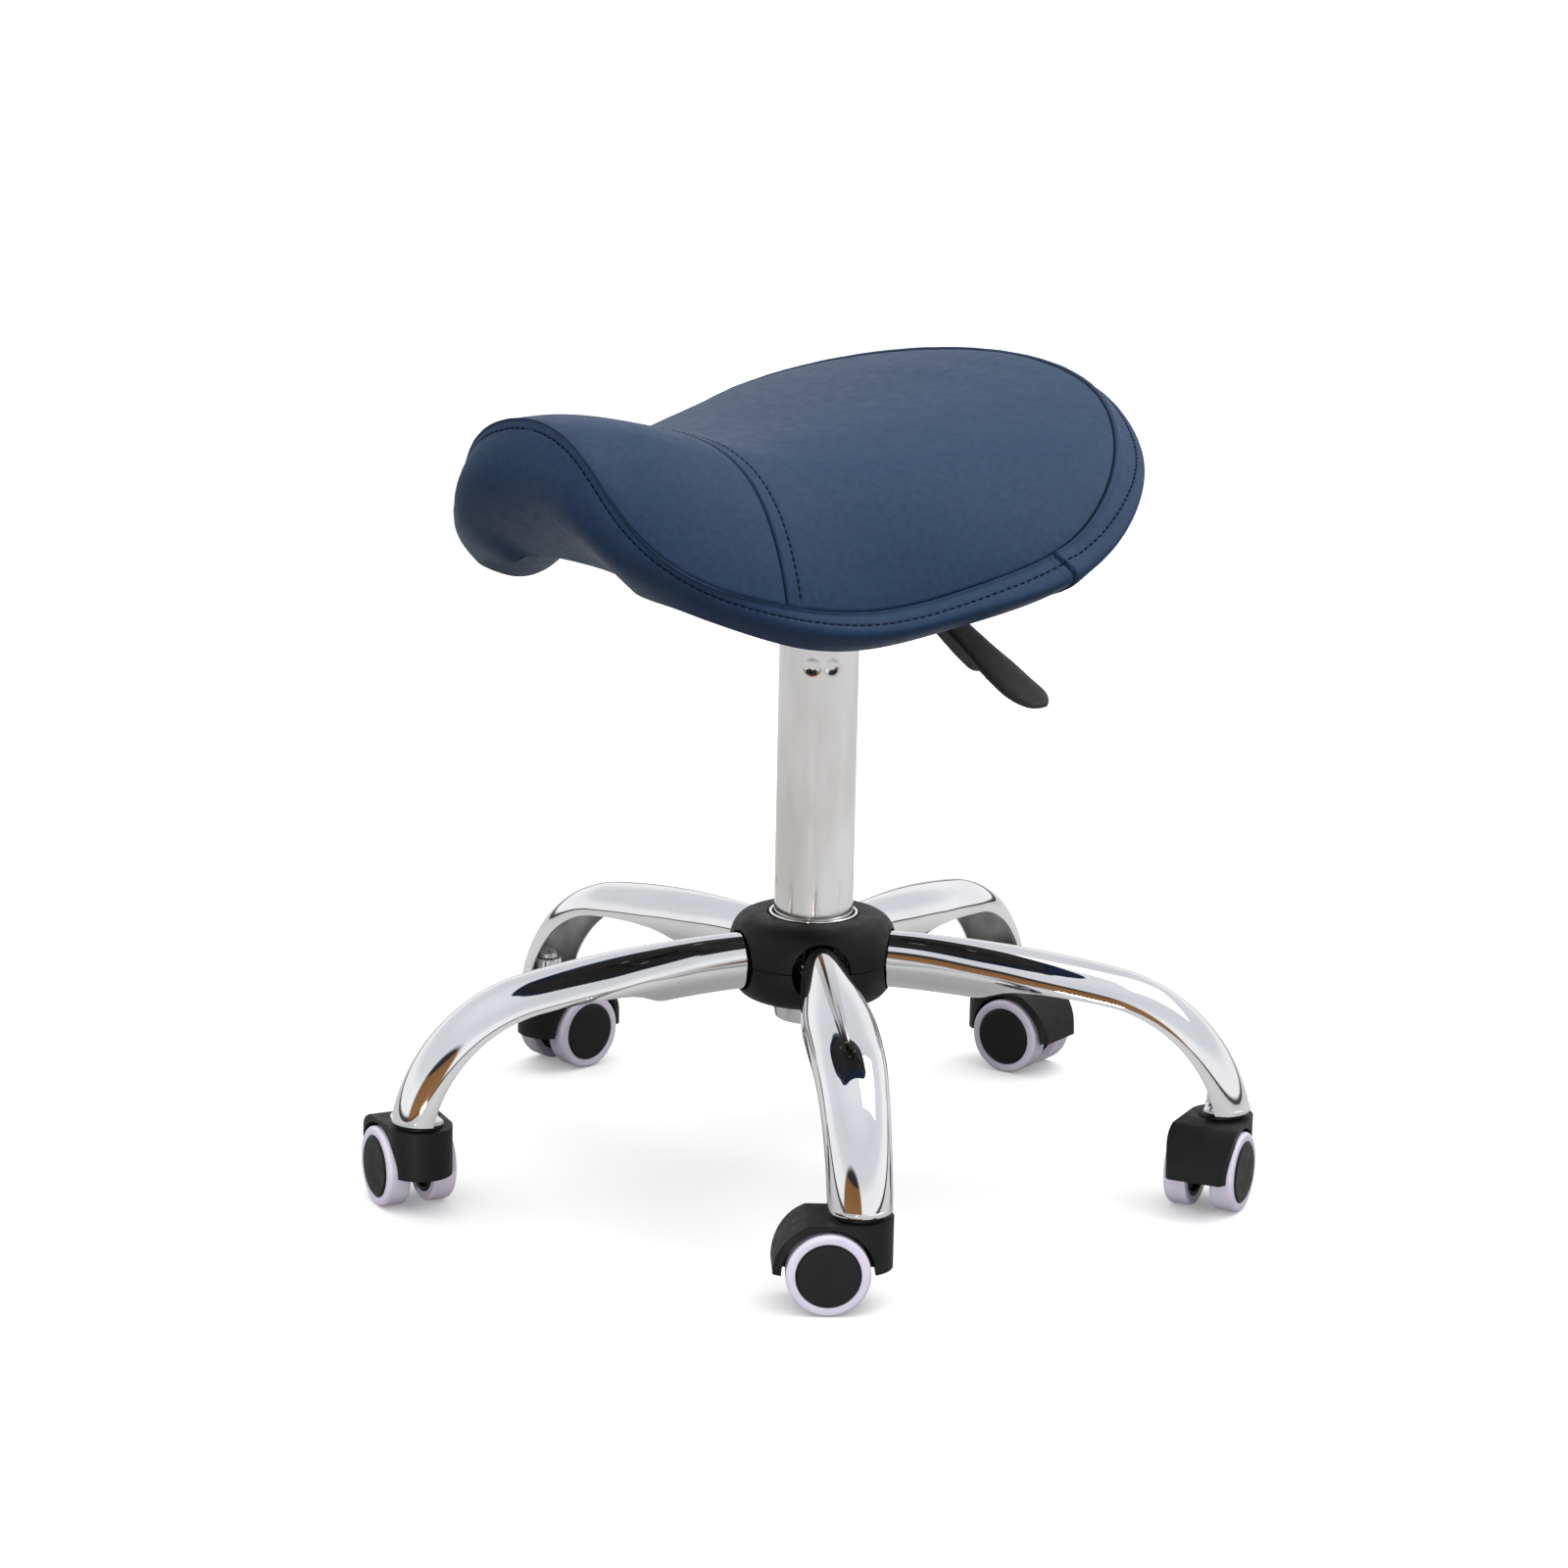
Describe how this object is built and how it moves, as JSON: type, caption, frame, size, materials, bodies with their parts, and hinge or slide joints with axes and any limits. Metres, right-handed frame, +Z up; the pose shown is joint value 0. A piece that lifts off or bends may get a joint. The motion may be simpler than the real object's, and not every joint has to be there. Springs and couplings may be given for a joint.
{
  "type": "saddle stool",
  "caption": "Height-adjustable saddle stool: padded vinyl saddle on a gas-lift column, with a release lever and a chrome star base on twin-wheel casters.",
  "frame": {"origin": "on the floor, in the middle of the bounding box, 18 mm from the column's axis because the casters trail", "axes": "+Z up along the column, -Y towards the seat's nose, +X towards the height lever"},
  "size_m": [0.5398, 0.5538, 0.509],
  "materials": {
    "chrome": "polished",
    "zinc_steel": "satin",
    "black_plastic": "matte",
    "black_enamel": "satin",
    "lilac_tread": "satin",
    "navy_vinyl": "satin",
    "foam": "matte",
    "plywood": "matte",
    "nylon": "matte"
  },
  "bodies": {
    "base": {"hub_core": "chrome", "hub_cover_upper": "black_plastic", "hub_cover_lower": "black_plastic", "leg_1": "chrome", "leg_2": "chrome", "leg_3": "chrome", "leg_4": "chrome", "leg_5": "chrome", "outer_tube": "chrome", "guide_bush": "nylon", "thrust_bearing": "zinc_steel", "caster_stem_1": "zinc_steel", "caster_stem_2": "zinc_steel", "caster_stem_3": "zinc_steel", "caster_stem_4": "zinc_steel", "caster_stem_5": "zinc_steel"},
    "gas_rod": {"piston_rod": "zinc_steel", "retaining_clip": "zinc_steel"},
    "seat": {"gas_cylinder": "black_enamel", "seat_plate": "black_enamel", "seat_board": "plywood", "seat_foam": "foam", "seat_cover": "navy_vinyl", "seat_bolt_1": "zinc_steel", "seat_bolt_2": "zinc_steel", "seat_bolt_3": "zinc_steel", "seat_bolt_4": "zinc_steel", "lever_pin": "zinc_steel"},
    "lever": {"lever": "black_plastic"},
    "release_pin": {"release_pin": "zinc_steel"},
    "caster_1": {"caster_hood_1": "black_plastic", "caster_axle_1": "zinc_steel"},
    "wheel_1_left": {"wheel_disc_1_left": "black_plastic", "tyre_1_left": "lilac_tread"},
    "wheel_1_right": {"wheel_disc_1_right": "black_plastic", "tyre_1_right": "lilac_tread"},
    "caster_2": {"caster_hood_2": "black_plastic", "caster_axle_2": "zinc_steel"},
    "wheel_2_left": {"wheel_disc_2_left": "black_plastic", "tyre_2_left": "lilac_tread"},
    "wheel_2_right": {"wheel_disc_2_right": "black_plastic", "tyre_2_right": "lilac_tread"},
    "caster_3": {"caster_hood_3": "black_plastic", "caster_axle_3": "zinc_steel"},
    "wheel_3_left": {"wheel_disc_3_left": "black_plastic", "tyre_3_left": "lilac_tread"},
    "wheel_3_right": {"wheel_disc_3_right": "black_plastic", "tyre_3_right": "lilac_tread"},
    "caster_4": {"caster_hood_4": "black_plastic", "caster_axle_4": "zinc_steel"},
    "wheel_4_left": {"wheel_disc_4_left": "black_plastic", "tyre_4_left": "lilac_tread"},
    "wheel_4_right": {"wheel_disc_4_right": "black_plastic", "tyre_4_right": "lilac_tread"},
    "caster_5": {"caster_hood_5": "black_plastic", "caster_axle_5": "zinc_steel"},
    "wheel_5_left": {"wheel_disc_5_left": "black_plastic", "tyre_5_left": "lilac_tread"},
    "wheel_5_right": {"wheel_disc_5_right": "black_plastic", "tyre_5_right": "lilac_tread"}
  },
  "joints": [
    {"name": "seat_swivel", "type": "hinge", "parent": "base", "child": "gas_rod", "pos_m": [0.0179, -0.0042, 0.115], "axis": [0, 0, 1], "continuous": true},
    {"name": "seat_lift", "type": "slide", "parent": "gas_rod", "child": "seat", "axis": [0, 0, 1], "range_m": [0, 0.13]},
    {"name": "lever_pivot", "type": "hinge", "parent": "seat", "child": "lever", "pos_m": [0.0479, -0.0042, 0.4118], "axis": [0, -1, 0], "range_deg": [0, 8]},
    {"name": "release_slide", "type": "slide", "parent": "seat", "child": "release_pin", "axis": [0, 0, -1], "range_m": [0, 0.0045]},
    {"name": "caster_swivel_1", "type": "hinge", "parent": "base", "child": "caster_1", "pos_m": [0.23037, -0.15971, 0.05], "axis": [0, 0, 1], "continuous": true},
    {"name": "wheel_spin_1_left", "type": "hinge", "parent": "caster_1", "child": "wheel_1_left", "pos_m": [0.21829, -0.17411, 0.025], "axis": [0.766, -0.6428, 0], "continuous": true},
    {"name": "wheel_spin_1_right", "type": "hinge", "parent": "caster_1", "child": "wheel_1_right", "pos_m": [0.21829, -0.17411, 0.025], "axis": [0.766, -0.6428, 0], "continuous": true},
    {"name": "caster_swivel_2", "type": "hinge", "parent": "base", "child": "caster_2", "pos_m": [0.23145, 0.14982, 0.05], "axis": [0, 0, 1], "continuous": true},
    {"name": "wheel_spin_2_left", "type": "hinge", "parent": "caster_2", "child": "wheel_2_left", "pos_m": [0.2391, 0.13265, 0.025], "axis": [0.9135, 0.4067, 0], "continuous": true},
    {"name": "wheel_spin_2_right", "type": "hinge", "parent": "caster_2", "child": "wheel_2_right", "pos_m": [0.2391, 0.13265, 0.025], "axis": [0.9135, 0.4067, 0], "continuous": true},
    {"name": "caster_swivel_3", "type": "hinge", "parent": "base", "child": "caster_3", "pos_m": [-0.06259, 0.2465, 0.05], "axis": [0, 0, 1], "continuous": true},
    {"name": "wheel_spin_3_left", "type": "hinge", "parent": "caster_3", "child": "wheel_3_left", "pos_m": [-0.04418, 0.25031, 0.025], "axis": [-0.2028, 0.9792, 0], "continuous": true},
    {"name": "wheel_spin_3_right", "type": "hinge", "parent": "caster_3", "child": "wheel_3_right", "pos_m": [-0.04418, 0.25031, 0.025], "axis": [-0.2028, 0.9792, 0], "continuous": true},
    {"name": "caster_swivel_4", "type": "hinge", "parent": "base", "child": "caster_4", "pos_m": [-0.2454, -0.00328, 0.05], "axis": [0, 0, 1], "continuous": true},
    {"name": "wheel_spin_4_left", "type": "hinge", "parent": "caster_4", "child": "wheel_4_left", "pos_m": [-0.24599, 0.01551, 0.025], "axis": [-0.9995, -0.0314, 0], "continuous": true},
    {"name": "wheel_spin_4_right", "type": "hinge", "parent": "caster_4", "child": "wheel_4_right", "pos_m": [-0.24599, 0.01551, 0.025], "axis": [-0.9995, -0.0314, 0], "continuous": true},
    {"name": "caster_swivel_5", "type": "hinge", "parent": "base", "child": "caster_5", "pos_m": [-0.06434, -0.25433, 0.05], "axis": [0, 0, 1], "continuous": true},
    {"name": "wheel_spin_5_left", "type": "hinge", "parent": "caster_5", "child": "wheel_5_left", "pos_m": [-0.08237, -0.24902, 0.025], "axis": [-0.2823, -0.9593, 0], "continuous": true},
    {"name": "wheel_spin_5_right", "type": "hinge", "parent": "caster_5", "child": "wheel_5_right", "pos_m": [-0.08237, -0.24902, 0.025], "axis": [-0.2823, -0.9593, 0], "continuous": true}
  ],
  "couplings": [
    {"joint": "release_slide", "follows": "lever_pivot", "m_per_rad": 0.03}
  ]
}
